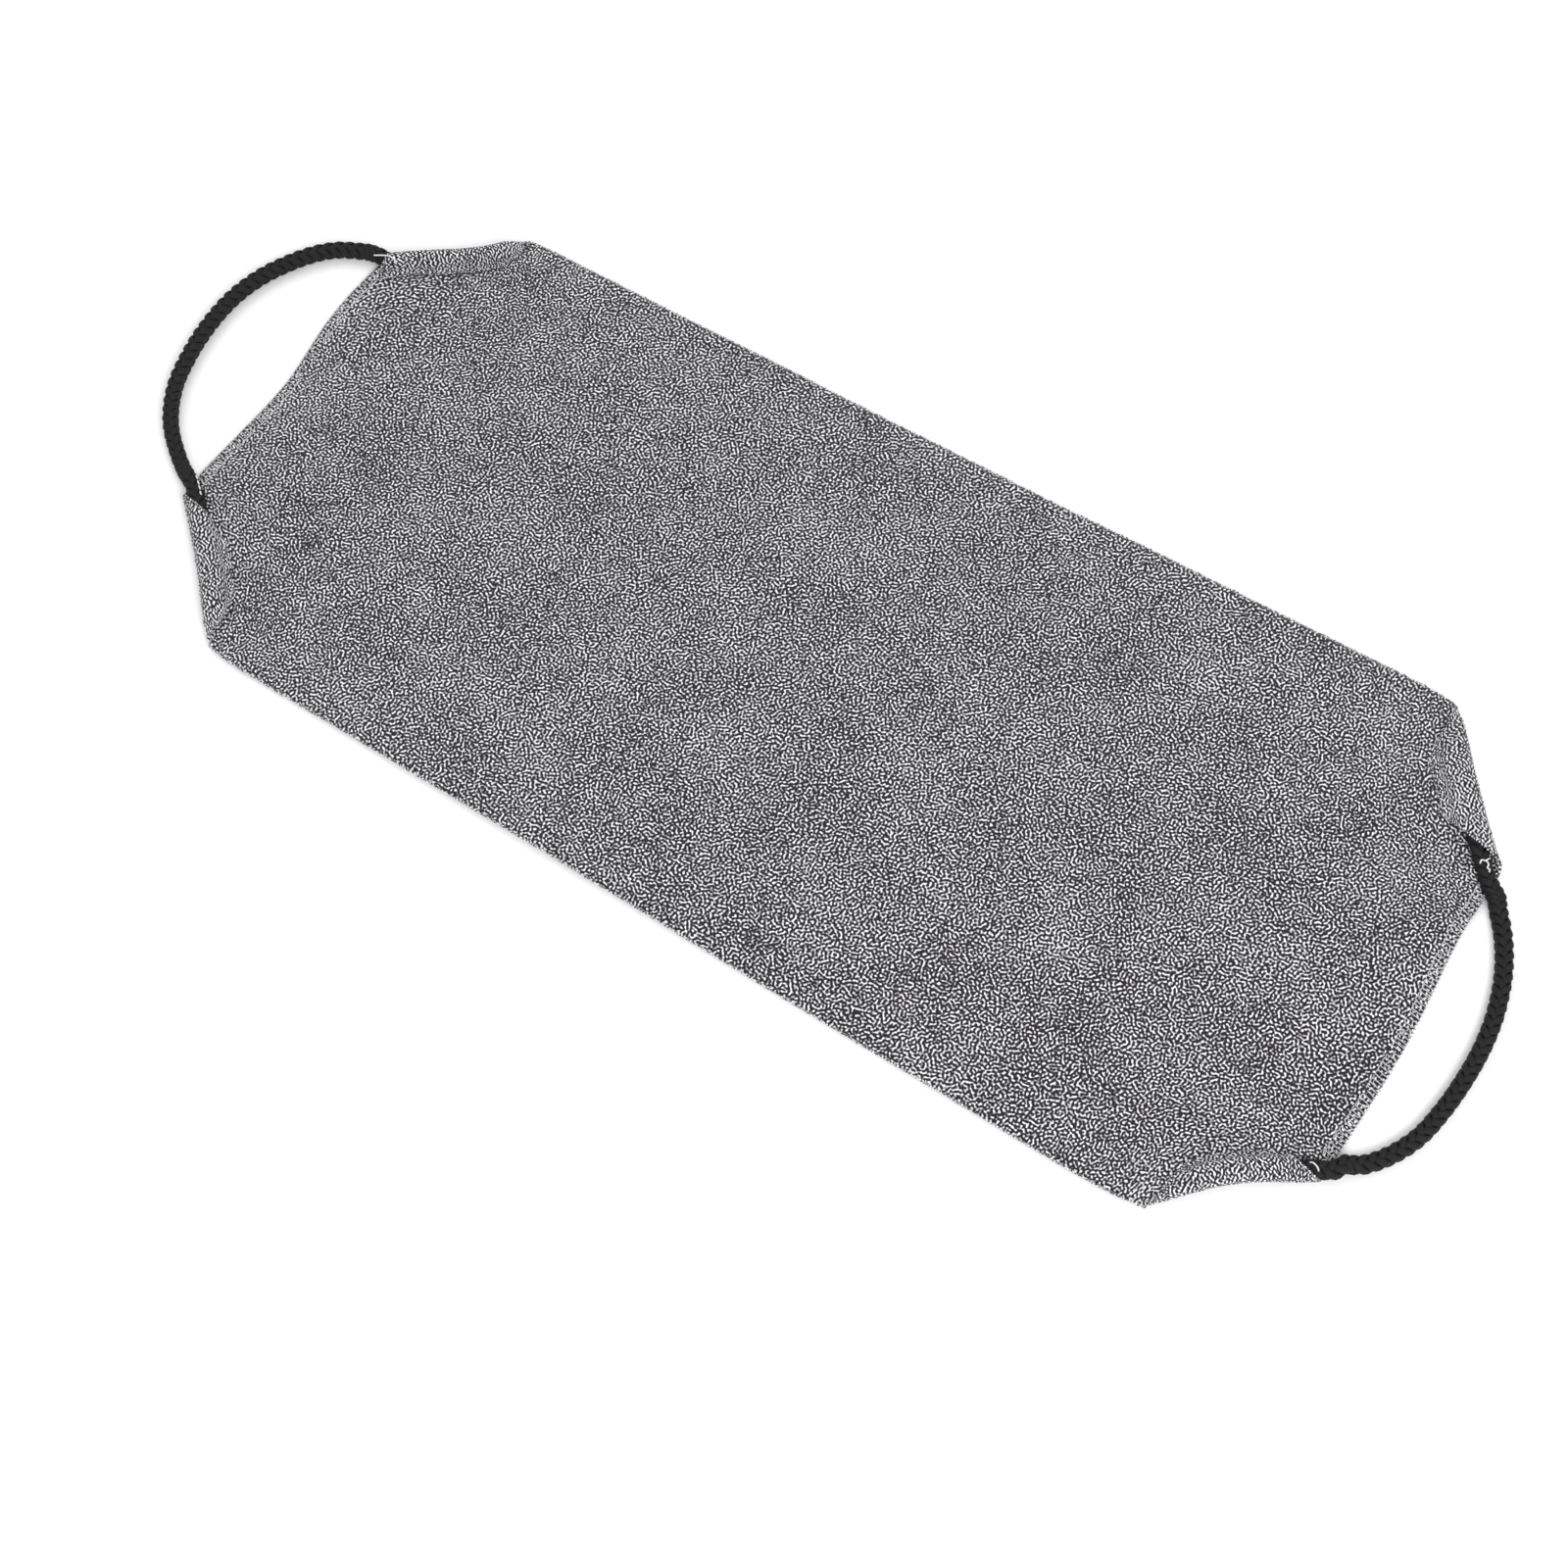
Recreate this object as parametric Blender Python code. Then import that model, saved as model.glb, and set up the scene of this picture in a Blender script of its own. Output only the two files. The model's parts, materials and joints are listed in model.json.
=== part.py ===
"""A flat knitted back scrubber with a braided rope hand loop at each end.

One long cloth is turned over at its four corners. Each turned corner makes a short sewn casing that holds
one end of a rope, and each rope runs from casing to casing round the end of the cloth as a hand loop. The
cloth folds across its middle and each loop swings about the line through its two mouths.
X runs along the cloth, Y across it and Z up. The cloth lies flat on Z = 0.
"""

import math

import bpy
import bmesh
from mathutils import Vector

MM = 0.001

# The cloth.
CLOTH_LENGTH = 600 * MM
CLOTH_WIDTH = 272 * MM
CLOTH_THICKNESS = 1.5 * MM
CORNER_CUT_LENGTH = 50 * MM  # how far a turned corner runs along the cloth
CORNER_CUT_WIDTH = 53 * MM  # and how far across it
CREASE_HALF_ANGLE = math.radians(14)  # each half thins to an edge at the fold, so it can close
CLEARANCE = 0.3 * MM

# The turned corners.
HEM_WALL = 1.2 * MM
HEM_FLANGE = 4 * MM
HEM_MOUTH_SETBACK = 3 * MM

# The ropes.
ROPE_DIAMETER = 8 * MM
CASED_ROPE_WIDTH = 8.4 * MM  # the rope is pressed a little flat inside its casing
CASED_ROPE_HEIGHT = 6 * MM
CASED_ROPE_END = 5 * MM  # from the rope's end to the casing's inner end
MOUTH_GAP = 0.5 * MM  # the rope's side stands this far out from the end edge on the swing line
MOUTH_IN = 8.5 * MM  # and the loop starts and ends this far in from the end edge's corners
TAIL_NOSE = 3.5 * MM
TAIL_NOSE_GAP = 1.2 * MM

# The threads.
SEAM_THREAD = 0.7 * MM
SEAM_STITCH = 3 * MM
SEAM_SWAY = 0.7 * MM
TACK_THREAD = 0.8 * MM
TACK_STITCHES = 3
TACK_PITCH = 1.2 * MM
OVERLOCK_WIDTH = 5 * MM
OVERLOCK_WALL = 0.25 * MM
OVERLOCK_HALF_LENGTH = 66 * MM
SEAT_CUT_PAST = 1 * MM  # how far the cutter of the thread's seat runs past the cloth's faces

# How each loop lies: millimetres out from the end edge and across from the middle, rear mouth first.
LEFT_LOOP_LIE = [
    (13, 73), (22, 69), (31, 62), (39, 52), (45, 38), (48.5, 22),
    (48.5, 4), (46, -14), (41, -34), (32, -52), (19, -66),
]
RIGHT_LOOP_LIE = [
    (14, 66), (22, 52), (29, 36), (33.5, 18), (36, 0), (35.5, -18),
    (33, -36), (28, -53), (20.5, -67), (12, -76),
]
LOOP_LIFT = 0.2 * MM  # between the rope and the surface where it lies

# How finely round shapes are stepped. ROUND_END holds the turns of a rope's rounded end, from its tip.
ROUTE_STEPS = 24
HEM_ARCH_STEPS = 12
TACK_ARCH_STEPS = 8
ROPE_SIDES = 10
CASED_ROPE_SIDES = 12
THREAD_SIDES = 6
ROUND_END = [math.radians(angle) for angle in (10, 35, 62)]

FABRIC = ("grey_knit", (0.205, 0.2, 0.21), 0.95)
ROPE = ("black_braid", (0.016, 0.015, 0.017), 0.8)
THREAD = ("grey_thread", (0.32, 0.32, 0.33), 0.85)
TACK = ("white_thread", (0.75, 0.75, 0.73), 0.8)

HALF_WIDTH = CLOTH_WIDTH / 2
MOUTH_Y = HALF_WIDTH - CORNER_CUT_WIDTH
MOUTH_HALF_SPAN = MOUTH_Y - MOUTH_IN
CLOTH_MIDDLE_Z = CLOTH_THICKNESS / 2
MOUTH_OUT = ROPE_DIAMETER / 2 + MOUTH_GAP
LOOP_LOW_CENTRE = ROPE_DIAMETER / 2 + LOOP_LIFT
LAID_ON_CLOTH = CLOTH_THICKNESS + CLEARANCE
CASED_ROPE_Z = LAID_ON_CLOTH + CASED_ROPE_HEIGHT / 2
CASED_ROPE_INSET = HEM_WALL + CLEARANCE + CASED_ROPE_WIDTH / 2
HEM_WIDTH = 2 * CASED_ROPE_INSET + HEM_FLANGE
LEFT_REACH = max(out for out, _ in LEFT_LOOP_LIE) * MM
RIGHT_REACH = max(out for out, _ in RIGHT_LOOP_LIE) * MM
CLOTH_X = (LEFT_REACH - RIGHT_REACH) / 2  # the fold, off the middle by half the loops' difference


def finished(name, mesh, material_spec):
    """Gives a mesh or curve its object, its material and smooth shading on its round faces."""
    label, colour, roughness = material_spec
    material = bpy.data.materials.get(label)
    if material is None:
        material = bpy.data.materials.new(label)
        material.use_nodes = True
        shader = material.node_tree.nodes["Principled BSDF"]
        shader.inputs["Base Color"].default_value = (*colour, 1)
        shader.inputs["Roughness"].default_value = roughness
        shader.inputs["Metallic"].default_value = 0
    mesh.materials.append(material)
    piece = bpy.data.objects.new(name, mesh)
    bpy.context.scene.collection.objects.link(piece)
    return piece


def mesh_from(name, points, faces, origin):
    """A mesh whose points are given in world space and stored about its object's origin."""
    form = bmesh.new()
    corners = [form.verts.new(Vector(point) - origin) for point in points]
    for face in faces:
        form.faces.new([corners[index] for index in face])
    bmesh.ops.recalc_face_normals(form, faces=form.faces)
    mesh = bpy.data.meshes.new(name)
    form.to_mesh(mesh)
    form.free()
    mesh.shade_smooth()
    mesh.set_sharp_from_angle(angle=math.radians(35))
    return mesh


def loft(name, rings, material_spec, origin):
    """One closed solid through rings of equal count, capped at both ends."""
    count = len(rings[0])
    points = [point for ring in rings for point in ring]
    faces = [tuple(range(count)), tuple(range(len(points) - count, len(points)))]
    for first in range(0, len(points) - count, count):
        for side in range(count):
            after = (side + 1) % count
            faces.append((first + side, first + after, first + count + after, first + count + side))
    piece = finished(name, mesh_from(name, points, faces, origin), material_spec)
    piece.location = origin
    return piece


def smooth_route(route, spacing):
    """Evenly spread points on one smooth curve through every point of the route."""
    dense = []
    padded = [2 * route[0] - route[1], *route, 2 * route[-1] - route[-2]]
    for before, start, end, after in zip(padded, padded[1:], padded[2:], padded[3:]):
        for step in range(ROUTE_STEPS):
            t = step / ROUTE_STEPS
            dense.append(0.5 * (
                2 * start + (end - before) * t + (2 * before - 5 * start + 4 * end - after) * t * t
                + (3 * start - before - 3 * end + after) * t ** 3))
    dense.append(route[-1])
    travelled = [0.0]
    for start, end in zip(dense, dense[1:]):
        travelled.append(travelled[-1] + (end - start).length)
    count = round(travelled[-1] / spacing)
    points = []
    index = 0
    for step in range(count + 1):
        wanted = travelled[-1] * step / count
        while index < len(dense) - 2 and travelled[index + 1] < wanted:
            index += 1
        share = (wanted - travelled[index]) / (travelled[index + 1] - travelled[index])
        points.append(dense[index].lerp(dense[index + 1], share))
    return points


def tube(name, points, diameter, material_spec, origin, sides, radii=None):
    """A round tube along the points, as a curve with filled caps. radii are shares of its radius."""
    curve = bpy.data.curves.new(name, "CURVE")
    curve.dimensions = "3D"
    curve.bevel_depth = diameter / 2
    curve.bevel_resolution = sides // 2 - 2
    curve.use_fill_caps = True
    spline = curve.splines.new("POLY")
    spline.points.add(len(points) - 1)
    for index, point in enumerate(points):
        spline.points[index].co = (*(point - origin), 1)
        spline.points[index].radius = radii[index] if radii else 1
    piece = finished(name, curve, material_spec)
    piece.location = origin
    return piece


def cloth_half(name, side, origin):
    """Half of the cloth, from its thin edge at the fold to the end edge with its two cut corners."""
    tip = CLEARANCE / 2
    full = tip + CLOTH_MIDDLE_Z / math.tan(CREASE_HALF_ANGLE)
    end = CLOTH_LENGTH / 2
    outline = [
        (full, -HALF_WIDTH), (end - CORNER_CUT_LENGTH, -HALF_WIDTH), (end, -MOUTH_Y),
        (end, MOUTH_Y), (end - CORNER_CUT_LENGTH, HALF_WIDTH), (full, HALF_WIDTH),
    ]
    low = [(CLOTH_X + side * x, y, 0) for x, y in outline]
    high = [(x, y, CLOTH_THICKNESS) for x, y, _ in low]
    thin = [(CLOTH_X + side * tip, y, CLOTH_MIDDLE_Z) for y in (-HALF_WIDTH, HALF_WIDTH)]
    count = len(outline)
    front, rear = 2 * count, 2 * count + 1
    faces = [tuple(range(count)), tuple(range(count, 2 * count))]
    faces += [(index, index + 1, count + index + 1, count + index) for index in range(count - 1)]
    faces += [(0, front, rear, count - 1), (count, front, rear, 2 * count - 1)]
    faces += [(0, count, front), (count - 1, 2 * count - 1, rear)]
    piece = finished(name, mesh_from(name, low + high + thin, faces, origin), FABRIC)
    piece.location = origin
    return piece


def end_channel(name, side, wall, beyond, material_spec, origin):
    """A channel lying on its side along the end edge, open towards the cloth.

    wall is its thickness inside the cloth's faces, and beyond carries it past the cloth's faces and ends.
    """
    edge = CLOTH_LENGTH / 2
    past = SEAT_CUT_PAST if beyond else 0
    outer, inner = edge + past, edge - OVERLOCK_WIDTH - beyond
    profile = [
        (inner, -past), (outer, -past), (outer, CLOTH_THICKNESS + past), (inner, CLOTH_THICKNESS + past),
        (inner, CLOTH_THICKNESS - wall), (edge - wall, CLOTH_THICKNESS - wall), (edge - wall, wall),
        (inner, wall),
    ]
    reach = OVERLOCK_HALF_LENGTH + beyond
    rings = [[(CLOTH_X + side * x, y, z) for x, z in profile] for y in (-reach, reach)]
    return loft(name, rings, material_spec, origin)


def cut_overlock_seat(cloth, name, side, origin):
    """Thins the cloth's end edge to what the overlock thread wraps."""
    cutter = end_channel(name, side, OVERLOCK_WALL + CLEARANCE, CLEARANCE, THREAD, origin)
    cutter.hide_render = True
    cutter.display_type = "WIRE"
    cut = cloth.modifiers.new("overlock_seat", "BOOLEAN")
    cut.operation = "DIFFERENCE"
    cut.solver = "EXACT"
    cut.object = cutter


class Corner:
    """A turned corner. along runs up its fold from the mouth, and inward runs square to it over the cloth.

    swing is where the loop ends, entry is where the rope goes under the turned layer, and lead points from
    the one to the other.
    """

    def __init__(self, side, rear):
        self.mouth = Vector((CLOTH_X + side * CLOTH_LENGTH / 2, rear * MOUTH_Y, 0))
        self.along = Vector((-side * CORNER_CUT_LENGTH, rear * CORNER_CUT_WIDTH, 0)).normalized()
        self.inward = Vector((-side * CORNER_CUT_WIDTH, -rear * CORNER_CUT_LENGTH, 0)).normalized()
        self.length = math.hypot(CORNER_CUT_LENGTH, CORNER_CUT_WIDTH)
        self.slope = CORNER_CUT_WIDTH / CORNER_CUT_LENGTH
        self.swing = Vector((
            CLOTH_X + side * (CLOTH_LENGTH / 2 + MOUTH_OUT), rear * MOUTH_HALF_SPAN, CASED_ROPE_Z))
        self.entry = self.at(HEM_MOUTH_SETBACK, CASED_ROPE_INSET, CASED_ROPE_Z)
        self.lead = (self.entry - self.swing).normalized()

    def at(self, along, inward, height):
        return self.mouth + along * self.along + inward * self.inward + Vector((0, 0, height))

    def start(self, inward):
        """Where the turned layer starts, this far in: its edge there is the cloth's own end edge."""
        return HEM_MOUTH_SETBACK + inward * self.slope

    def end(self, inward):
        """Where it ends: its edge there is the cloth's own long edge."""
        return self.length - inward / self.slope


def hem(name, corner, origin):
    """The turned corner: an arch of cloth over the rope, with a flat flange that is sewn down."""
    inner_half = CASED_ROPE_WIDTH / 2 + CLEARANCE
    inner_rise = CASED_ROPE_HEIGHT / 2 + CLEARANCE
    flange_top = LAID_ON_CLOTH + HEM_WALL

    def arch(half, rise):
        return [
            (CASED_ROPE_INSET - half * math.cos(turn), CASED_ROPE_Z + rise * math.sin(turn))
            for turn in (math.pi * step / HEM_ARCH_STEPS for step in range(HEM_ARCH_STEPS + 1))
        ]

    profile = [(0, LAID_ON_CLOTH)]
    profile += arch(inner_half + HEM_WALL, inner_rise + HEM_WALL)
    profile += [
        (CASED_ROPE_INSET + inner_half + HEM_WALL, flange_top), (HEM_WIDTH, flange_top),
        (HEM_WIDTH, LAID_ON_CLOTH), (CASED_ROPE_INSET + inner_half, LAID_ON_CLOTH),
    ]
    profile += arch(inner_half, inner_rise)[::-1]
    profile += [(HEM_WALL, LAID_ON_CLOTH)]
    rings = [
        [corner.at(limit(inward), inward, height) for inward, height in profile]
        for limit in (corner.start, corner.end)
    ]
    return loft(name, rings, FABRIC, origin)


def rope_tail(name, corner, origin):
    """The end of the rope that the casing holds. Its round nose stops just short of the loop's ball."""
    stations = corner.start(2 * CASED_ROPE_INSET), corner.end(CASED_ROPE_INSET) - CASED_ROPE_END
    cased = [corner.at(along, CASED_ROPE_INSET, CASED_ROPE_Z) for along in stations]
    nose = corner.swing + corner.lead * (ROPE_DIAMETER / 2 + TAIL_NOSE_GAP)
    tail = smooth_route([nose, corner.entry, *cased], ROPE_DIAMETER / 2)
    points = [nose + corner.lead * TAIL_NOSE * (1 - math.cos(turn)) for turn in ROUND_END]
    points += [point for point in tail if (point - nose).length > TAIL_NOSE]
    shares = [math.sin(turn) for turn in ROUND_END] + [1] * (len(points) - len(ROUND_END))
    rings = []
    for index, (point, share) in enumerate(zip(points, shares)):
        ahead = points[min(index + 1, len(points) - 1)] - points[max(index - 1, 0)]
        across = Vector((-ahead.y, ahead.x, 0)).normalized()
        rings.append([
            point + share * Vector((
                across.x * CASED_ROPE_WIDTH / 2 * math.cos(turn),
                across.y * CASED_ROPE_WIDTH / 2 * math.cos(turn),
                CASED_ROPE_HEIGHT / 2 * math.sin(turn)))
            for turn in (2 * math.pi * side / CASED_ROPE_SIDES for side in range(CASED_ROPE_SIDES))
        ])
    return loft(name, rings, ROPE, origin)


def seam_thread(name, corner, origin):
    """The zigzag thread that sews the flange down, lying along its middle."""
    middle = HEM_WIDTH - HEM_FLANGE / 2
    height = LAID_ON_CLOTH + HEM_WALL + CLEARANCE + SEAM_THREAD / 2
    low = corner.start(middle) + SEAM_STITCH / 2
    high = corner.end(middle) - SEAM_STITCH / 2
    count = round((high - low) / (SEAM_STITCH / 2))
    points = [
        corner.at(low + (high - low) * index / count, middle + SEAM_SWAY * (-1) ** index, height)
        for index in range(count + 1)
    ]
    return tube(name, points, SEAM_THREAD, THREAD, origin, THREAD_SIDES)


def mouth_tack(name, corner, origin):
    """Stitches over the rope at the mouth, one thread going over and back, from edge to edge of the rope."""
    across = (corner.inward - corner.lead * corner.inward.dot(corner.lead)).normalized()
    half = CASED_ROPE_WIDTH / 2 + CLEARANCE + TACK_THREAD / 2
    rise = CASED_ROPE_HEIGHT / 2 + CLEARANCE + TACK_THREAD / 2
    foot = LAID_ON_CLOTH + TACK_THREAD / 2 - CASED_ROPE_Z
    first = TACK_THREAD + CLEARANCE + half * abs(corner.lead.dot(corner.inward))
    points = []
    for stitch in range(TACK_STITCHES):
        middle = corner.entry - corner.lead * (first + TACK_PITCH * stitch)
        arch = [(-half, foot)]
        arch += [
            (-half * math.cos(turn), rise * math.sin(turn))
            for turn in (math.pi * step / TACK_ARCH_STEPS for step in range(TACK_ARCH_STEPS + 1))
        ]
        arch += [(half, foot)]
        if stitch % 2:
            arch.reverse()
        points += [middle + across * sideways + Vector((0, 0, height)) for sideways, height in arch]
    return tube(name, points, TACK_THREAD, TACK, origin, THREAD_SIDES)


def rope_loop(name, side, lie, origin):
    """The hand loop, lying on the surface from mouth to mouth, with a ball end on the swing line."""
    def out_from_end(out, across, height):
        return Vector((CLOTH_X + side * (CLOTH_LENGTH / 2 + out), across, height))

    ends = [out_from_end(MOUTH_OUT, rear * MOUTH_HALF_SPAN, CASED_ROPE_Z) for rear in (1, -1)]
    middle = [out_from_end(out * MM, across * MM, LOOP_LOW_CENTRE) for out, across in lie]
    points = smooth_route([ends[0], *middle, ends[1]], ROPE_DIAMETER)

    def ball(end, inner):
        back = (end - inner).normalized() * ROPE_DIAMETER / 2
        return [end + back * math.cos(turn) for turn in ROUND_END]

    caps = [math.sin(turn) for turn in ROUND_END]
    route = ball(points[0], points[1]) + points + ball(points[-1], points[-2])[::-1]
    radii = caps + [1] * len(points) + caps[::-1]
    return tube(name, route, ROPE_DIAMETER, ROPE, origin, ROPE_SIDES, radii)


for old in list(bpy.data.objects):
    bpy.data.objects.remove(old)

fold_axis = Vector((CLOTH_X, 0, CLOTH_MIDDLE_Z))
for side, end_name, lie in ((-1, "left", LEFT_LOOP_LIE), (1, "right", RIGHT_LOOP_LIE)):
    cloth = cloth_half(f"{end_name}_cloth_half", side, fold_axis)
    cut_overlock_seat(cloth, f"{end_name}_overlock_cutter", side, fold_axis)
    end_channel(f"{end_name}_end_overlock", side, OVERLOCK_WALL, 0, THREAD, fold_axis)
    for rear, edge_name in ((1, "rear"), (-1, "front")):
        corner = Corner(side, rear)
        where = f"{end_name}_{edge_name}"
        hem(f"{where}_corner_hem", corner, fold_axis)
        rope_tail(f"{where}_rope_tail", corner, fold_axis)
        seam_thread(f"{where}_hem_seam", corner, fold_axis)
        mouth_tack(f"{where}_mouth_tack", corner, fold_axis)
    swing_axis = Vector((CLOTH_X + side * (CLOTH_LENGTH / 2 + MOUTH_OUT), 0, CASED_ROPE_Z))
    rope_loop(f"{end_name}_rope_loop", side, lie, swing_axis)
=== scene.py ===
# %% [markdown]
# # A knitted back scrubber
#
# A long knitted cloth, worn behind the back and pulled to and fro by a braided rope loop at each end. Its
# four corners are turned over and sewn down, and each turned corner holds one end of a rope. The working
# model holds the sizes, the joints and a plain solid for each piece. This script gives each piece its real
# surface.

import json
import math
from functools import partial

import bmesh
import bpy
import numpy as np
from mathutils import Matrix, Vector


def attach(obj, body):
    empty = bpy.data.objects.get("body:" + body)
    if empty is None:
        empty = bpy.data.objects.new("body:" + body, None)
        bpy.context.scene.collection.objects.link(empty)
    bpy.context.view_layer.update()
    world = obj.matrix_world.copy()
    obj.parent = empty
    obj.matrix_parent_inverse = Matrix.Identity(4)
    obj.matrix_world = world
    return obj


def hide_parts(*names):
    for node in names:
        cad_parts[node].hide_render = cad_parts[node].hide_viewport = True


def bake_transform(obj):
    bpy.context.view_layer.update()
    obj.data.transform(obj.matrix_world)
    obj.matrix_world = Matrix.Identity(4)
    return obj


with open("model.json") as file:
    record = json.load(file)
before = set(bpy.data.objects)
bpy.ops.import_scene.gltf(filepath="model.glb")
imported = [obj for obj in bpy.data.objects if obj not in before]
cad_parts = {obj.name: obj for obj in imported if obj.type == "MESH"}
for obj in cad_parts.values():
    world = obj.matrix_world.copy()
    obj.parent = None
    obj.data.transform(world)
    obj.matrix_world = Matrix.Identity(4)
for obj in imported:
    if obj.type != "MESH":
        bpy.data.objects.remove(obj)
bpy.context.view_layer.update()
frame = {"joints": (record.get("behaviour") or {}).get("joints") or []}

# %% [markdown]
# ## Sizes that everything follows
#
# The pieces are placed by the cloth's own measures. They are written in millimetres and turned into metres,
# and the place of the fold comes from the working model's joints.

# %% Sizes
MM = 0.001
joints = {joint["name"]: Vector(joint["pos_m"]) for joint in frame["joints"]}
FOLD = joints["cloth_fold"]
HALF_LENGTH = 300 * MM
HALF_WIDTH = 136 * MM
CLOTH_THICKNESS = 1.5 * MM
CUT_LENGTH = 50 * MM
CUT_WIDTH = 53 * MM
CREASE_LENGTH = math.hypot(CUT_LENGTH, CUT_WIDTH)
START_SLOPE = CUT_WIDTH / CUT_LENGTH
END_SLOPE = CUT_LENGTH / CUT_WIDTH
ROPE_DIAMETER = 8 * MM
SIDES = {"left": -1, "right": 1}
EDGES = {"rear": 1, "front": -1}
print("fold at", tuple(round(value, 5) for value in FOLD), "crease", round(CREASE_LENGTH / MM, 1), "mm")

# %% Small helpers


def unit(vectors):
    """The same directions, each one long."""
    return vectors / np.linalg.norm(vectors, axis=-1, keepdims=True)


def travelled(points):
    """How far along its line each point is."""
    return np.concatenate([[0], np.cumsum(np.linalg.norm(np.diff(points, axis=0), axis=1))])


def add_object(name, data):
    piece = bpy.data.objects.new(name, data)
    bpy.context.scene.collection.objects.link(piece)
    return piece


# %% [markdown]
# ## The camera
#
# It stands high over the front, a little to the right, and looks down on the cloth as one looks at a thing
# on a table. The lens is fairly long, so the far end looks hardly smaller than the near one.

# %% Camera
CAMERA_TARGET = Vector((0.02095, -0.0546, 0))
CAMERA_AZIMUTH = math.radians(32.49)
CAMERA_ELEVATION = math.radians(63.95)
CAMERA_DISTANCE = 1.318
CAMERA_LENS = 67.5

camera_data = bpy.data.cameras.new("camera")
camera_data.lens = CAMERA_LENS
camera_data.sensor_width = 36
camera = add_object("camera", camera_data)
bpy.context.scene.camera = camera
away = Vector((
    math.sin(CAMERA_AZIMUTH) * math.cos(CAMERA_ELEVATION),
    -math.cos(CAMERA_AZIMUTH) * math.cos(CAMERA_ELEVATION),
    math.sin(CAMERA_ELEVATION)))
camera.location = CAMERA_TARGET + CAMERA_DISTANCE * away
camera.rotation_euler = (-away).to_track_quat("-Z", "Y").to_euler()
print("camera at", tuple(round(value, 3) for value in camera.location))

# %% [markdown]
# ## How the cloth lies
#
# A knitted cloth put down by hand is never a true octagon: it is a little stretched and askew, a corner is
# pulled in, an end edge bows out, and it doesn't lie dead flat. `lay` moves any point of the true shape to
# where it really lies. It is one smooth field, so the cloth, the hems, the threads and the rope's sewn ends
# stay together. Past the end edges it dies away, because there the loops lie free.

# %% The lay of the cloth
SKEW = {  # how far each corner of the cloth's own rectangle has moved, in millimetres
    (-1, -1): (-2, -2), (-1, 1): (-2, -11), (1, -1): (6, -8), (1, 1): (6, 8),
}
NUDGES = [  # a place on the true shape, then how far it has moved in all: in millimetres
    (-250, 136, 1.2, -8), (-274, 110, 5.1, -4.9), (-300, 83, -3, -2.5),
    (-300, 40, -5, -7), (-300, 8, -1.2, -6), (-300, -28, -2, -3),
    (-300, -83, -4, 4), (-274, -110, 2.1, 1.8), (-250, -136, 4.5, -2),
    (250, -136, -0.6, -5.2), (273, -110, 1.2, -1.2), (287, -96, 4, -4), (300, -83, 5, -8),
    (300, -40, 6.9, -5), (300, 0, 6.5, 0), (300, 40, 3.8, 3),
    (300, 83, 5.2, -5.5), (274, 110, 0.6, 0.5), (250, 136, 0.9, 6.2),
]
NUDGE_REACH = 26 * MM
LOOP_FREE = 14 * MM  # this far past the end edge the loops lie free of the cloth's lay
THREAD_LIFT = 0.5 * MM  # the end edges rest on the thread that binds them
POINT_ROUNDING = 1.7 * MM  # how far the hems' points are pulled in, which rounds them
POINT_REACH = 6.5 * MM
nudge_places = np.array([place[:2] for place in NUDGES]) * MM
hem_points = np.array([(x, y) for x in (-1, 1) for y in (-1, 1)]) * (HALF_LENGTH - CUT_LENGTH, HALF_WIDTH)


def skew(places):
    """The stretch and turn of the whole cloth."""
    u, v = places[:, :1] / HALF_LENGTH, places[:, 1:] / HALF_WIDTH
    moved = np.zeros_like(places)
    for (x, y), move in SKEW.items():
        moved += (1 + x * u) * (1 + y * v) / 4 * np.array(move) * MM
    return moved


def nearness(places, centres, reach):
    """How much each centre is felt at each place, from 1 on it to nothing far away."""
    gaps = np.linalg.norm(places[:, None, :] - centres[None, :, :], axis=2)
    return np.exp(-0.5 * (gaps / reach) ** 2)


nudge_moves = np.array([place[2:] for place in NUDGES]) * MM - skew(nudge_places)
nudge_weights = np.linalg.solve(nearness(nudge_places, nudge_places, NUDGE_REACH), nudge_moves)


def smooth_share(value):
    """From 0 to 1, easing in and out."""
    value = np.clip(value, 0, 1)
    return value * value * (3 - 2 * value)


# A ripple is its greatest height and two sines that are multiplied, each with its radians for a metre along
# x and along y, and its start.
WAVES = [
    (0.85 * MM, (19, 7, 0.6), (-5, 23, 1.1)),
    (0.35 * MM, (47, -31, 0), (17, 41, 2)),
]
WAVES_MIDDLE = 1.2 * MM  # so the waves run from 0 to 2.4 mm
WAVES_FADE = 20 * MM  # they die away over this much of the cloth at each end


def ripples(places, table):
    """The height of a table's ripples at each place."""
    x, y = places.T
    total = np.zeros(len(places))
    for height, *sines in table:
        first, second = (np.sin(by_x * x + by_y * y + start) for by_x, by_y, start in sines)
        total += height * first * second
    return total


def lay(points):
    """Points of the true shape, about the fold, moved to where they lie. Returned in the model's frame."""
    points = np.array(points, float).reshape(-1, 3)
    places = points[:, :2]
    beyond = np.abs(places[:, 0]) - HALF_LENGTH
    move = skew(places) + nearness(places, nudge_places, NUDGE_REACH) @ nudge_weights
    pull = nearness(places, hem_points, POINT_REACH) * POINT_ROUNDING
    move -= pull @ unit(hem_points)
    moved = points.copy()
    held = 1 - smooth_share(beyond / LOOP_FREE)
    moved[:, :2] += move * held[:, None]
    moved[:, 2] += THREAD_LIFT * held
    moved[:, 2] += (WAVES_MIDDLE + ripples(places, WAVES)) * (1 - smooth_share(beyond / WAVES_FADE + 1))
    moved[:, 0] += FOLD.x
    return moved


print("largest move by hand", round(float(np.abs(nudge_moves).max() / MM), 1), "mm")

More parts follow.
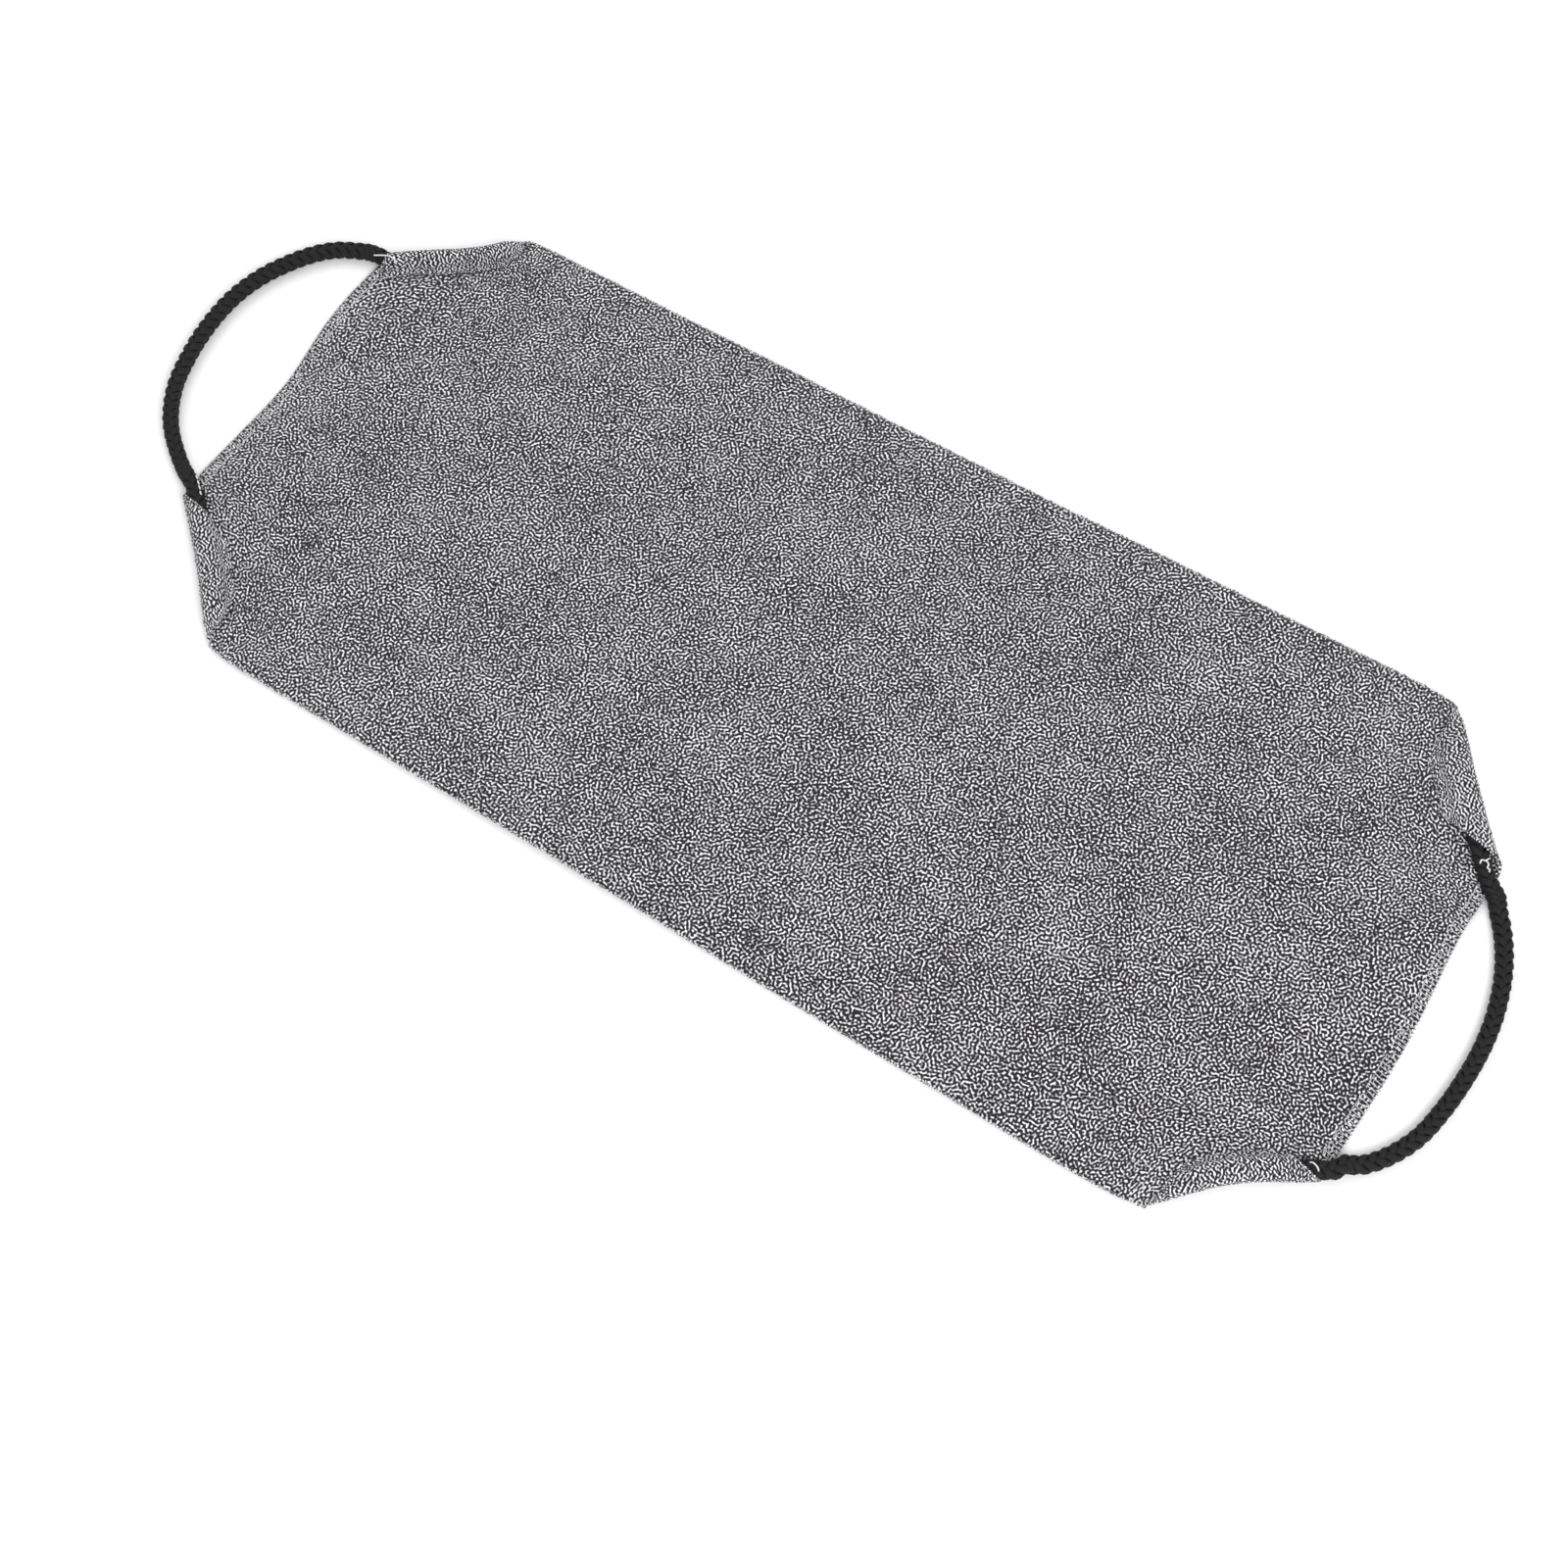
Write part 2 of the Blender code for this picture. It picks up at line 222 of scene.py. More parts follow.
# %% [markdown]
# ## The turned corners, as places to measure from
#
# Every corner is cut to the same shape, turned or mirrored, so each has the same two directions of its own:
# `along` runs up the crease from the rope's mouth, and `inward` runs square to it over the cloth. The cloth's
# own end edge and long edge, turned over with the corner, cut most hems' two ends off at a slant.

# %% Corner directions


class Corner:
    def __init__(self, end_name, edge_name):
        side, rear = SIDES[end_name], EDGES[edge_name]
        self.name = f"{end_name}_{edge_name}"
        self.end_name = end_name
        self.body = f"{end_name}_cloth"
        self.mouth = np.array((side * HALF_LENGTH, rear * (HALF_WIDTH - CUT_WIDTH)))
        self.along = np.array((-side * CUT_LENGTH, rear * CUT_WIDTH)) / CREASE_LENGTH
        self.inward = np.array((-side * CUT_WIDTH, -rear * CUT_LENGTH)) / CREASE_LENGTH

    def flat(self, along, inward):
        """The places on the table, so far up the crease and so far in from it."""
        along, inward = np.broadcast_arrays(along, inward)
        return self.mouth + along[..., None] * self.along + inward[..., None] * self.inward

    def at(self, along, inward, height):
        place = self.flat(along, inward)
        return np.concatenate([place, np.broadcast_to(height, place.shape[:-1])[..., None]], axis=-1)


corners = {corner.name: corner for corner in (Corner(end, edge) for end in SIDES for edge in EDGES)}


def by_corner(*values):
    """A table of each corner's value."""
    return dict(zip(("left_rear", "left_front", "right_front", "right_rear"), values))


print("corners:", ", ".join(corners))


# %% [markdown]
# ## Smooth lines
#
# Ropes, seams and edges all follow a line drawn through a few chosen points. A Catmull-Rom curve passes
# through each of them without a kink, and walking it in even steps gives points that are easy to build on.

# %% Smooth line through points
CURVE_STEPS = 40


def smooth_line(route, step):
    """Points at even steps on one smooth curve through every point of the route."""
    route = np.array(route, float)
    ends = np.vstack([2 * route[0] - route[1], route, 2 * route[-1] - route[-2]])
    t = np.linspace(0, 1, CURVE_STEPS, endpoint=False)[:, None]
    spans = []
    for before, start, end, after in zip(ends, ends[1:], ends[2:], ends[3:]):
        spans.append(0.5 * (
            2 * start + (end - before) * t + (2 * before - 5 * start + 4 * end - after) * t ** 2
            + (3 * start - before - 3 * end + after) * t ** 3))
    dense = np.vstack([*spans, route[-1:]])
    gone = travelled(dense)
    count = max(2, round(gone[-1] / step))
    wanted = np.linspace(0, gone[-1], count + 1)
    return np.column_stack([np.interp(wanted, gone, axis) for axis in dense.T])


def line_length(points):
    return float(travelled(points)[-1])


# %% [markdown]
# ## The route of each rope
#
# Each rope is one length of braid, sewn at one end into the casing of one turned corner. It comes out at that
# casing's mouth, lies on the table as a hand loop, and goes into the casing at the other mouth. The loop's
# points lie close to the working model's. They are millimetres out from the end edge and across from the
# middle, from the rear mouth to the front one. In the casing the rope is pressed a little flat, and it stands
# higher there, because the cloth is under it.

# %% Rope routes
LOOP_LIE = {
    "left": [
        (15.5, 77.2), (25, 72), (32.8, 64.5), (40.2, 53.6), (47.2, 39), (51.3, 22),
        (51.6, 3), (49, -15.5), (43.2, -35), (32.4, -52), (17.5, -65)],
    "right": [
        (9.2, 63), (19.2, 50.5), (27.4, 34.8), (32.8, 17), (35.3, -0.5), (35.5, -18),
        (34, -36.3), (30.4, -53.5), (22.8, -68.5), (13.8, -77.8)],
}
MOUTH_LIE = by_corner((6, 81), (4, -73.5), (5.5, -76.5), (0.5, 70.5))  # measured as the loops are
MOUTH_INSET_SHARES = by_corner(0.62, 1.0, 1.0, 1.1)
HEM_SHARES = by_corner(0.76, 1.0, 0.9, 1.2)  # how wide each hem is, as a share of the section below
CASED_INSET = 5.7 * MM
CASED_Z = 4.8 * MM
LOOP_Z = 4.2 * MM
MOUTH_ALONG = 3 * MM
ROPE_END_GAP = 12 * MM
ROPE_END_Z = 3.9 * MM
ROPE_END_FADE = 8 * MM  # the cut end is pressed flat over this much of the rope
ROPE_END_LOWER = 0.5
ROPE_STEP = 1 * MM


def past_end(end_name, out, across, height):
    """A point so many millimetres out from the end edge, and across from the middle."""
    return np.array((SIDES[end_name] * (HALF_LENGTH + out * MM), across * MM, height))


def cased_route(end_name, edge_name):
    """The rope's points in one casing, from its sewn end to the swing line."""
    corner = corners[f"{end_name}_{edge_name}"]
    inset = CASED_INSET * HEM_SHARES[corner.name]
    last = CREASE_LENGTH - inset * END_SLOPE - ROPE_END_GAP
    stations = [last, (last + 2 * inset * START_SLOPE) / 2, 2 * inset * START_SLOPE, MOUTH_ALONG]
    insets = [inset, inset, inset, inset * MOUTH_INSET_SHARES[corner.name]]
    heights = [ROPE_END_Z, CASED_Z, CASED_Z, CASED_Z]
    points = [corner.at(*place) for place in zip(stations, insets, heights)]
    return points + [past_end(end_name, *MOUTH_LIE[corner.name], CASED_Z)]


def rope_route(end_name):
    loop = [past_end(end_name, *place, LOOP_Z) for place in LOOP_LIE[end_name]]
    return [*cased_route(end_name, "rear"), *loop, *cased_route(end_name, "front")[::-1]]


rope_lines = {end_name: lay(smooth_line(rope_route(end_name), ROPE_STEP)) for end_name in SIDES}
for end_name, line in rope_lines.items():
    print(end_name, "rope", round(line_length(line) / MM), "mm from sewn end to sewn end")

# %% [markdown]
# ## Finishes
#
# A shader node is wordy to make, so a helper makes one, sets its values and joins it in one line. Effects
# that several finishes use are node groups, built once. Each puts out a mask and a height, never a shader, so
# that every material keeps its own surface shader.

# %% Node helpers


def add_node(tree, kind, inputs=None, **settings):
    """A node of that kind. inputs maps a socket's name or number to a value or to another node's output."""
    node = tree.nodes.new(kind)
    for name, value in settings.items():
        setattr(node, name, value)
    for key, value in (inputs or {}).items():
        socket = node.inputs[key]
        if isinstance(value, bpy.types.NodeSocket):
            tree.links.new(value, socket)
        else:
            socket.default_value = value
    return node


def output_of(tree, kind, output, inputs=None, **settings):
    """The same, when only one of the node's outputs is wanted."""
    return add_node(tree, kind, inputs, **settings).outputs[output]


def math_node(tree, operation, first, second=0.0, clamp=False):
    inputs = {0: first, 1: second}
    return output_of(tree, "ShaderNodeMath", 0, inputs, operation=operation, use_clamp=clamp)


def noise(tree, vector, scale, detail=2.0, roughness=0.5):
    inputs = {"Vector": vector, "Scale": scale, "Detail": detail, "Roughness": roughness}
    return output_of(tree, "ShaderNodeTexNoise", "Fac", inputs)


def new_group(name, numbers):
    """A group that takes a vector and those numbers. Returns its tree, what it is given and what it makes."""
    tree = bpy.data.node_groups.new(name, "ShaderNodeTree")
    tree.interface.new_socket("Vector", in_out="INPUT", socket_type="NodeSocketVector")
    for label, usual in numbers.items():
        socket = tree.interface.new_socket(label, in_out="INPUT", socket_type="NodeSocketFloat")
        socket.default_value = usual
    for label in ("Light", "Height"):
        tree.interface.new_socket(label, in_out="OUTPUT", socket_type="NodeSocketFloat")
    return tree, tree.nodes.new("NodeGroupInput").outputs, tree.nodes.new("NodeGroupOutput").inputs


def new_material(name, roughness, sheen=0.0):
    """A material and its surface shader, with the values that are the same all over."""
    material = bpy.data.materials.new(name)
    material.use_nodes = True
    shader = material.node_tree.nodes["Principled BSDF"]
    values = {
        "Roughness": roughness, "Metallic": 0, "Specular IOR Level": 0.25,
        "Sheen Weight": sheen, "Sheen Roughness": 0.6}
    for label, value in values.items():
        shader.inputs[label].default_value = value
    return material, material.node_tree, shader


# %% [markdown]
# ### Mixed yarn
#
# The cloth's yarn is spun from light and dark fibres, and its tiny crinkled loops show as light worms on a
# dark ground, about two millimetres from one to the next. A Gabor texture is made of short wave packets, so
# it draws just such worms, evenly spaced. Set to point one way, they draw rows instead. Their contrast is
# raised, and two slower noises make some patches lighter. The usual values are those of the cloth's face.

# %% Mixed yarn group
WAVES_IN_A_PACKET = 1.5
mixed_yarn, given, made = new_group("mixed yarn", {
    "Packets per metre": 360.0, "One way": 0.0, "Contrast": 7.5, "Light share": 0.02, "Patchiness": 0.75})
calc = partial(math_node, mixed_yarn)
worms = output_of(mixed_yarn, "ShaderNodeTexGabor", "Value", {
    "Vector": given["Vector"], "Scale": given["Packets per metre"],
    "Frequency": WAVES_IN_A_PACKET, "Anisotropy": given["One way"]})
worm = calc("ADD", given["Light share"], calc("MULTIPLY", given["Contrast"], calc("SUBTRACT", worms, 0.5)))
patch_noise = noise(mixed_yarn, given["Vector"], scale=26.0, detail=3.0, roughness=0.55)
fleck_noise = noise(mixed_yarn, given["Vector"], scale=190.0, roughness=0.7)
both_noises = calc("SUBTRACT", calc("ADD", patch_noise, fleck_noise), 1.0)
patches = calc("MULTIPLY", both_noises, given["Patchiness"])
mixed_yarn.links.new(calc("ADD", worm, patches, clamp=True), made["Light"])
mixed_yarn.links.new(calc("ADD", worm, 0.0, clamp=True), made["Height"])
print("group:", mixed_yarn.name)

# %% [markdown]
# ### Spun fibres
#
# Rope strands and sewing threads are bundles of fine fibres. On a long thin shape the UV map runs along it
# in one direction and round it in the other, so a noise that is stretched along it draws fibres.

# %% Spun fibre group
FIBRE_RELIEF = 0.18
spun_fibre, given, made = new_group(
    "spun fibre", {"Fibres round": 9.0, "Length scale": 120.0, "Twist": 90.0})
calc = partial(math_node, spun_fibre)
thread_place = add_node(spun_fibre, "ShaderNodeSeparateXYZ", {"Vector": given["Vector"]}).outputs
leaned = calc("ADD", thread_place["Y"], calc("MULTIPLY", thread_place["X"], given["Twist"]))
fibre_turns = calc("MULTIPLY", leaned, given["Fibres round"])
fibre_vector = output_of(spun_fibre, "ShaderNodeCombineXYZ", "Vector", {
    "X": calc("MULTIPLY", thread_place["X"], given["Length scale"]),
    "Y": fibre_turns, "Z": thread_place["Z"]})
fibre_noise = noise(spun_fibre, fibre_vector, scale=1.0, roughness=0.6)
fibre_waves = calc("SINE", calc("MULTIPLY", fibre_turns, 2 * math.pi))
fibre_height = calc("ADD", fibre_noise, calc("MULTIPLY", fibre_waves, FIBRE_RELIEF), clamp=True)
spun_fibre.links.new(fibre_noise, made["Light"])
spun_fibre.links.new(fibre_height, made["Height"])
print("group:", spun_fibre.name)

# %% [markdown]
# ### The cloth's two faces and the other finishes
#
# The cloth's face is crinkled all over. On its back, which the turned corners show, the yarn is finer and
# leans a little one way. Both use the mixed yarn on the flat pattern's own measures, so the worms keep their
# size where the cloth bends. The rope is dyed black, and its fibres hardly show. In every finish one group's
# light runs between two colours, and its height gives the relief.

# %% Finish helpers
FLAT_SIZE = 2 * HALF_LENGTH  # the UV map holds the pattern's measures as shares of this
MIX_LOW, MIX_HIGH, MIX_RESULT = 6, 7, 2  # the colour sockets of a Mix node


def on_map(tree):
    """A strand's or a thread's own UV map: along it in metres, and once round it."""
    return output_of(tree, "ShaderNodeUVMap", "UV", uv_map="flat")


def on_pattern(tree):
    """The cloth's own flat measures in metres."""
    inputs = {"Vector": on_map(tree), "Scale": (FLAT_SIZE, FLAT_SIZE, 1)}
    return output_of(tree, "ShaderNodeMapping", "Vector", inputs)


def on_object(tree):
    return output_of(tree, "ShaderNodeTexCoord", "Object")


def mix_colours(tree, amount, low, high):
    inputs = {0: amount, MIX_LOW: (*low, 1), MIX_HIGH: (*high, 1)}
    return output_of(tree, "ShaderNodeMix", MIX_RESULT, inputs, data_type="RGBA")


def new_finish(name, group, place, values, colours, roughness, sheen, strength, depth):
    """A material from one group. Its relief has that strength and is that deep."""
    material, tree, shader = new_material(name, roughness, sheen)
    inputs = {"Vector": place(tree), **values}
    effect = add_node(tree, "ShaderNodeGroup", inputs, node_tree=group).outputs
    tree.links.new(mix_colours(tree, effect["Light"], *colours), shader.inputs["Base Color"])
    relief = {"Height": effect["Height"], "Strength": strength, "Distance": depth}
    tree.links.new(output_of(tree, "ShaderNodeBump", "Normal", relief), shader.inputs["Normal"])
    return material


# %% Cloth and edge loops
MIXED_COLOURS = ((0.010, 0.008, 0.011), (0.84, 0.83, 0.85))

cloth_face = new_finish(
    "knit face", mixed_yarn, on_pattern, {}, MIXED_COLOURS,
    roughness=0.95, sheen=0.15, strength=0.8, depth=0.9 * MM)
cloth_back = new_finish(
    "knit back", mixed_yarn, on_pattern,
    {"Packets per metre": 430.0, "One way": 0.3, "Light share": 0.08}, MIXED_COLOURS,
    roughness=0.92, sheen=0.1, strength=0.7, depth=0.6 * MM)
edge_yarn = new_finish(
    "edge yarn", mixed_yarn, on_object,
    {"Packets per metre": 440.0, "Contrast": 5.0, "Light share": 0.4, "Patchiness": 0.6}, MIXED_COLOURS,
    roughness=0.9, sheen=0.1, strength=0.5, depth=0.3 * MM)

# %% Rope and thread
THREAD_RELIEF = 0.25 * MM


def spun_finish(name, colours, roughness, sheen, fibres=3.0, strength=0.4):
    """A finish for a strand or a thread, with that many fibres round it."""
    values = {"Fibres round": fibres}
    return new_finish(name, spun_fibre, on_map, values, colours, roughness, sheen, strength, THREAD_RELIEF)


black_braid = spun_finish(
    "black braid", ((0.0035, 0.003, 0.0035), (0.016, 0.015, 0.017)), 0.7, 0.0, fibres=9.0, strength=0.7)
grey_thread = spun_finish("grey thread", ((0.22, 0.215, 0.225), (0.86, 0.85, 0.87)), 0.85, 0.1)
# Near-black seam thread: a real seam, darkened to paint the shadow under each hem's sewn edge.
seam_shadow_thread = spun_finish("dark thread", ((0.012, 0.011, 0.012), (0.06, 0.06, 0.062)), 0.85, 0.0)
white_thread = spun_finish("white thread", ((0.55, 0.55, 0.53), (0.86, 0.86, 0.84)), 0.8, 0.1)
print("finishes:", ", ".join(sorted(bpy.data.materials.keys())))

# %% [markdown]
# ## Building a mesh from rows of points
#
# Strands, threads and the cloth are all rows of points with faces between them. One helper turns points,
# faces and UV places into an object at the origin.

# %% Mesh helpers


def mesh_object(name, points, faces, uvs, material):
    """An object of those faces. uvs holds one place for each corner of each face."""
    mesh = bpy.data.meshes.new(name)
    mesh.from_pydata(np.asarray(points).tolist(), [], [list(face) for face in faces])
    mesh.uv_layers.new(name="flat").data.foreach_set("uv", np.asarray(uvs, np.float32).ravel())
    mesh.materials.append(material)
    mesh.shade_smooth()
    return add_object(name, mesh)


def frames_along(line):
    """For each point of a line: the directions ahead, to its side on the table, and over it."""
    ahead = unit(np.gradient(line, axis=0))
    aside = unit(np.cross((0, 0, 1.0), ahead))
    return ahead, aside, np.cross(ahead, aside)


def cells(rows, columns, turn):
    """The row and the column of each corner of each cell of a grid, in that turn."""
    place = np.stack(np.meshgrid(np.arange(rows), np.arange(columns), indexing="ij"), axis=-1)
    return (place[..., None, :] + turn).reshape(-1, 4, 2)


def ring_faces(rings, around, first):
    """The faces of a tube's rings, and how many rings and sides each corner is from the tube's start."""
    shares = cells(rings - 1, around, [(0, 0), (0, 1), (1, 1), (1, 0)])
    return first + shares[..., 0] * around + shares[..., 1] % around, shares


# %% [markdown]
# ## The braided rope
#
# The rope is an eight-strand plait. Four strands wind one way and four the other, and each passes over two
# and under two. That rule is two formulas: a strand's angle grows steadily along the rope, and its distance
# from the middle rises and falls twice in each turn. A plain tube with a bumpy finish would lose the
# scalloped outline, so each strand is a real oval tube. A slim core fills the middle.

# %% Plait
LAY_LENGTH = 20 * MM  # along the rope for one whole turn of a strand
STRAND_RING = 2.45 * MM
STRAND_RISE = 0.85 * MM
STRAND_WIDTH = 3.4 * MM
STRAND_DEPTH = 1.7 * MM
ROPE_GIRTH = {"left": 1.04, "right": 1.1}  # the left rope was pulled a little tighter
STRANDS_EACH_WAY = 4
STRAND_SIDES = 8
CORE_RADIUS = 1.9 * MM
CORE_SIDES = 8
CASED_WIDER = 1.06
CASED_LOWER = 0.76
PRESS_FADE = 9 * MM  # the rope is free of its casing over this much of its length
PRESS_GONE = 0.35  # and by the end edge so much of the way


def pressed(line, end_name):
    """How wide and how high the rope is at each point, as shares: flatter in a casing and at its mouth."""
    out = SIDES[end_name] * (line[:, 0] - FOLD.x) - HALF_LENGTH
    free = smooth_share(out / PRESS_FADE + PRESS_GONE)
    corner_names = [f"{end_name}_rear", f"{end_name}_front"]
    narrow = np.where(line[:, 1] > 0, *(min(1, HEM_SHARES[name]) for name in corner_names))
    girth = ROPE_GIRTH[end_name]
    from_end = np.minimum(np.arange(len(line)), np.arange(len(line))[::-1]) * ROPE_STEP
    whole = ROPE_END_LOWER + (1 - ROPE_END_LOWER) * smooth_share(from_end / ROPE_END_FADE)
    return (
        CASED_WIDER * narrow + (girth - CASED_WIDER * narrow) * free,
        (CASED_LOWER + (girth - CASED_LOWER) * free) * whole)


def strand(line, frames, wide, high, way, number):
    """The points of one strand's rings, round a middle line that winds about the rope's own."""
    _, aside, over = frames
    phase = 2 * math.pi * np.arange(len(line)) * ROPE_STEP / LAY_LENGTH
    eighth = math.pi / 4
    start = 2 * math.pi * number / STRANDS_EACH_WAY
    if way > 0:
        angle = start + phase
        rise = np.sin(2 * phase + math.pi * number)
    else:
        angle = start - phase + eighth
        rise = np.sin(2 * phase - 2 * eighth - math.pi * number)
    radius = STRAND_RING + STRAND_RISE * rise
    sideways = np.cos(angle)[:, None] * aside
    upward = np.sin(angle)[:, None] * over
    middle = line + radius[:, None] * (sideways * wide[:, None] + upward * high[:, None])
    ahead = unit(np.gradient(middle, axis=0))
    across = unit(np.cross(ahead, sideways + upward))
    outward = np.cross(across, ahead)
    turns = 2 * math.pi * np.arange(STRAND_SIDES) / STRAND_SIDES
    return (
        middle[:, None, :]
        + (STRAND_WIDTH / 2 * np.cos(turns))[None, :, None] * across[:, None, :]
        + (STRAND_DEPTH / 2 * high[:, None] * np.sin(turns)[None, :])[..., None] * outward[:, None, :])


def tube_rings(line, frames, radius, sides, high=1.0):
    _, aside, over = frames
    turns = 2 * math.pi * np.arange(sides) / sides
    lift = np.broadcast_to(high, len(line))[:, None, None] * over[:, None, :]
    ring = np.cos(turns)[None, :, None] * aside[:, None, :] + np.sin(turns)[None, :, None] * lift
    return line[:, None, :] + radius * ring


def join_tubes(name, tubes, step, material):
    """One object of many tubes, each an array of rings. UVs run along it in metres and once round it."""
    points, quads, uvs, caps = [], [], [], []
    first = 0
    for rings in tubes:
        count, around = rings.shape[:2]
        faces, shares = ring_faces(count, around, first)
        points.append(rings.reshape(-1, 3))
        quads.append(faces)
        uvs.append(shares * (step, 1 / around))
        caps.append(list(range(first, first + around))[::-1])
        caps.append(list(range(first + (count - 1) * around, first + count * around)))
        first += count * around
    cap_uvs = np.zeros((sum(len(cap) for cap in caps), 2))
    all_uvs = np.vstack([np.concatenate(uvs).reshape(-1, 2), cap_uvs])
    piece = mesh_object(
        name, np.vstack(points), [*np.concatenate(quads).tolist(), *caps], all_uvs, material)
    face_out(piece)
    return piece


def face_out(piece):
    """Turns every face outwards."""
    form = bmesh.new()
    form.from_mesh(piece.data)
    bmesh.ops.recalc_face_normals(form, faces=form.faces)
    form.to_mesh(piece.data)
    form.free()


ropes = {}
for end_name, line in rope_lines.items():
    frames = frames_along(line)
    wide, high = pressed(line, end_name)
    tubes = [tube_rings(line, frames, CORE_RADIUS * CASED_LOWER, CORE_SIDES, high)]
    tubes += [
        strand(line, frames, wide, high, way, number)
        for way in (1, -1) for number in range(STRANDS_EACH_WAY)
    ]
    ropes[end_name] = join_tubes(f"{end_name}_rope", tubes, ROPE_STEP, black_braid)
    print(end_name, "rope:", len(tubes) - 1, "strands,", len(ropes[end_name].data.polygons), "faces")

# %% [markdown]
# ## The cloth
#
# The cloth is one sheet, so it is one mesh: the flat octagon, and at each corner the hem that bends up round
# the rope and comes down on the cloth. A hem's section is drawn once as a line, from flat cloth, round the
# crease, over the rope and down to its sewn edge. Distance measured along that line is what the cloth's flat
# pattern has, so the knit runs on round the crease at its true size. The octagon's rows and columns meet the
# hems point for point.

# %% Hem section
CLOTH_Z = CLOTH_THICKNESS / 2
FLAT_INSET = 16 * MM  # the hem's part of the mesh starts this far in from the crease
BEND_INSET = 5 * MM  # and is flat down to here
# Inset from the crease and height, in millimetres.
HEM_SECTION = [(5, 0.75), (2.2, 0.9), (0.5, 2.1), (0, 4.4), (0.9, 6.9), (3.2, 8.45), (5.7, 8.8),
               (8.2, 8.3), (10.1, 6.5), (11, 4.2), (12, 2.8)]
HEM_EDGE = by_corner(10.6, 14.8, 13, 17.4)
# Each mouth's edge starts so far up the crease, and runs on up it so much for each millimetre of the hem.
MOUTH_START = by_corner(5.5 * MM, 0, 0, 0)
MOUTH_SLANT = by_corner(-0.5, 1.2, 0.95, 1.05)
MOUTH_START_WITHIN = 4 * MM
HEM_EDGE_Z = 2.35
FLAT_STEP = 2 * MM
BEND_STEP = 0.9 * MM
HEM_END_FADE = 12 * MM  # the hem comes down to the cloth over this much of its length at the point
HEM_END_LOW = 0.08


def hem_section(name):
    """Across one hem: inset, height and place on the flat pattern, from the flat cloth to the sewn edge."""
    arch = [(inset * HEM_SHARES[name], height) for inset, height in HEM_SECTION[1:]]
    turned = smooth_line([HEM_SECTION[0], *arch, (HEM_EDGE[name], HEM_EDGE_Z)], BEND_STEP / MM) * MM
    flat = np.linspace(FLAT_INSET, BEND_INSET, 1 + round((FLAT_INSET - BEND_INSET) / FLAT_STEP))[:-1]
    inset = np.concatenate([flat, turned[:, 0]])
    height = np.concatenate([np.full(len(flat), CLOTH_Z), turned[:, 1]])
    return inset, height, np.concatenate([flat, BEND_INSET - travelled(turned)])


for name in corners:
    print(name, "hem holds", round(-float(hem_section(name)[2][-1]) / MM, 1), "mm of cloth past the crease")

# %% Rows and columns of the flat cloth
HEM_COLUMNS = 52
MIDDLE_COLUMNS = 190
CLOTH_ROWS = 112


def crease_limits(pattern, mouth_slant=START_SLOPE, mouth_start=0):
    """Where the cloth's end edge and its long edge cut a line that runs this far in from the crease."""
    slope = np.where(np.asarray(pattern) < 0, mouth_slant, START_SLOPE)
    start = mouth_start * smooth_share(-np.asarray(pattern) / MOUTH_START_WITHIN)
    return start - slope * pattern, CREASE_LENGTH + END_SLOPE * pattern


def octagon_grid():
    """Rows of places on the flat cloth, between the four lines where the hems' parts start."""
    corner = corners["right_rear"]
    low, high = crease_limits(FLAT_INSET)
    end_place = corner.flat(low, FLAT_INSET)
    long_place = corner.flat(high, FLAT_INSET)
    slant_x = np.linspace(end_place[0], long_place[0], HEM_COLUMNS + 1)
    slant_y = np.linspace(end_place[1], long_place[1], HEM_COLUMNS + 1)
    middle_x = np.linspace(-long_place[0], long_place[0], MIDDLE_COLUMNS + 1)[1:-1]
    x = np.concatenate([-slant_x, middle_x, slant_x[::-1]])
    y = np.concatenate([slant_y, np.full(len(middle_x), HALF_WIDTH), slant_y[::-1]])
    share = np.linspace(-1, 1, CLOTH_ROWS + 1)
    return np.stack([np.repeat(x[:, None], CLOTH_ROWS + 1, 1), y[:, None] * share[None, :]], axis=-1)


def hem_grid(name):
    """Rows of places and heights over one hem, and the same places on the flat pattern."""
    corner = corners[name]
    inset, height, pattern = hem_section(name)
    low, high = crease_limits(pattern, MOUTH_SLANT[name], MOUTH_START[name])
    share = np.linspace(0, 1, HEM_COLUMNS + 1)
    along = low[:, None] + (high - low)[:, None] * share[None, :]
    inset = np.repeat(inset[:, None], HEM_COLUMNS + 1, 1)
    keep = HEM_END_LOW + (1 - HEM_END_LOW) * smooth_share((high[:, None] - along) / HEM_END_FADE)
    edge_height = HEM_EDGE_Z * MM
    lowered = edge_height + (height[:, None] - edge_height) * keep
    raised = np.where(height[:, None] > edge_height, lowered, height[:, None])
    flat = corner.mouth + along[..., None] * corner.along + pattern[:, None, None] * corner.inward
    return corner.at(along, inset, raised), flat


octagon = octagon_grid()
print("octagon grid", octagon.shape[:2], "faces", (octagon.shape[0] - 1) * (octagon.shape[1] - 1))

# %% [markdown]
# The patches are joined where their places on the flat pattern agree. Then the thin sheet is laid, given its
# thickness, and the second face of the cloth gets the back's finish. Small uneven rises keep the surface
# from looking ironed.

# %% One sheet
MERGE_WITHIN = 0.02 * MM
UNEVENNESS = [  # ripples, written as the waves are
    (0.10 * MM, (310, 90, 0), (-60, 270, 0)),
    (0.07 * MM, (890, -340, 1), (210, 760, 0)),
]
UNEVEN_MOST = 0.17 * MM


def patch_faces(rows, columns, first):
    place = cells(rows - 1, columns - 1, [(0, 0), (1, 0), (1, 1), (0, 1)])
    return first + place[..., 0] * columns + place[..., 1]


